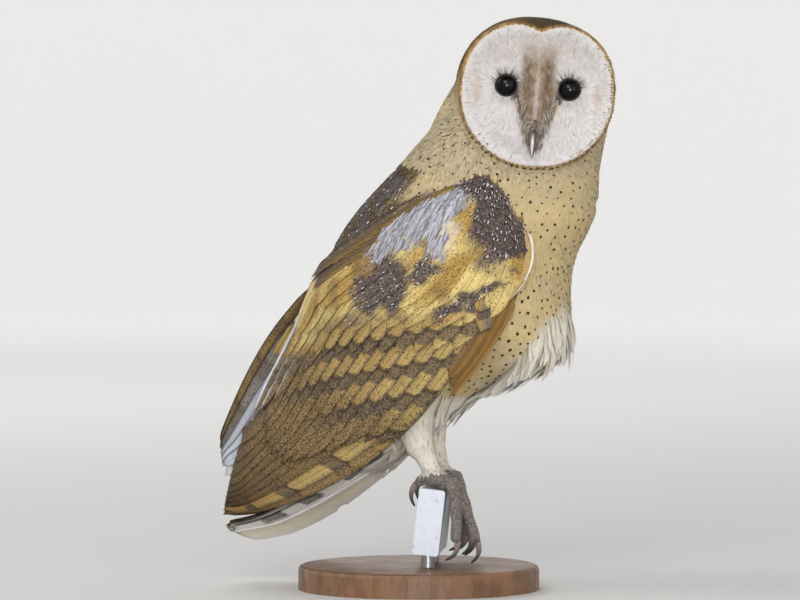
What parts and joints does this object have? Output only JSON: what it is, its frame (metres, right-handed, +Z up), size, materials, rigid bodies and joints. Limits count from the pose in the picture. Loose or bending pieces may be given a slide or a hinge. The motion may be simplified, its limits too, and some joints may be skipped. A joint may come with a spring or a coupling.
{
  "type": "barn owl",
  "caption": "Life-size still model of a perched barn owl, head turned to its right, long-toed feet over a cut length of painted bar on a plain round display stand.",
  "frame": {"origin": "centre of the display base's underside", "axes": "+Z up; the owl's body faces -Y and its right side is -X; its face points about 65 degrees from -Y towards -X"},
  "size_m": [0.14, 0.2617, 0.3304],
  "materials": {
    "plumage_head": "soft white facial disc in a golden ruff, brown-grey crown",
    "plumage_breast": "buff plumage with small dark spots, paling to white on the belly",
    "plumage_wing": "golden feathers with grey vermiculation and dark bars",
    "plumage_tail": "pale tail feathers with dark bars",
    "plumage_thigh": "short off-white leg feathers",
    "foot_skin": "grey-brown scaly skin with pale bristles",
    "claw_horn": "dark polished horn",
    "bill_horn": "pale horn, satin",
    "eye_gloss": "wet black",
    "perch_paint": "worn white paint with small chips",
    "base_wood": "dark satin hardwood",
    "rod_steel": "bright drawn rod"
  },
  "bodies": {
    "root": {"bill_lower": "bill_horn", "bill_upper": "bill_horn", "claw_left_hind": "claw_horn", "claw_left_inner": "claw_horn", "claw_left_middle": "claw_horn", "claw_left_outer": "claw_horn", "claw_right_hind": "claw_horn", "claw_right_inner": "claw_horn", "claw_right_middle": "claw_horn", "claw_right_outer": "claw_horn", "eye_left": "eye_gloss", "eye_right": "eye_gloss", "foot_left": "foot_skin", "foot_right": "foot_skin", "head": "plumage_head", "neck": "plumage_breast", "perch": "perch_paint", "shank_left": "foot_skin", "shank_right": "foot_skin", "stand_base": "base_wood", "stand_rod_left": "rod_steel", "stand_rod_right": "rod_steel", "tail": "plumage_tail", "thigh_left": "plumage_thigh", "thigh_right": "plumage_thigh", "toe_left_hind": "foot_skin", "toe_left_inner": "foot_skin", "toe_left_middle": "foot_skin", "toe_left_outer": "foot_skin", "toe_right_hind": "foot_skin", "toe_right_inner": "foot_skin", "toe_right_middle": "foot_skin", "toe_right_outer": "foot_skin", "trunk": "plumage_breast", "wing_left_coverts": "plumage_wing", "wing_left_primaries": "plumage_wing", "wing_left_secondaries": "plumage_wing", "wing_right_coverts": "plumage_wing", "wing_right_primaries": "plumage_wing", "wing_right_secondaries": "plumage_wing"}
  },
  "joints": []
}
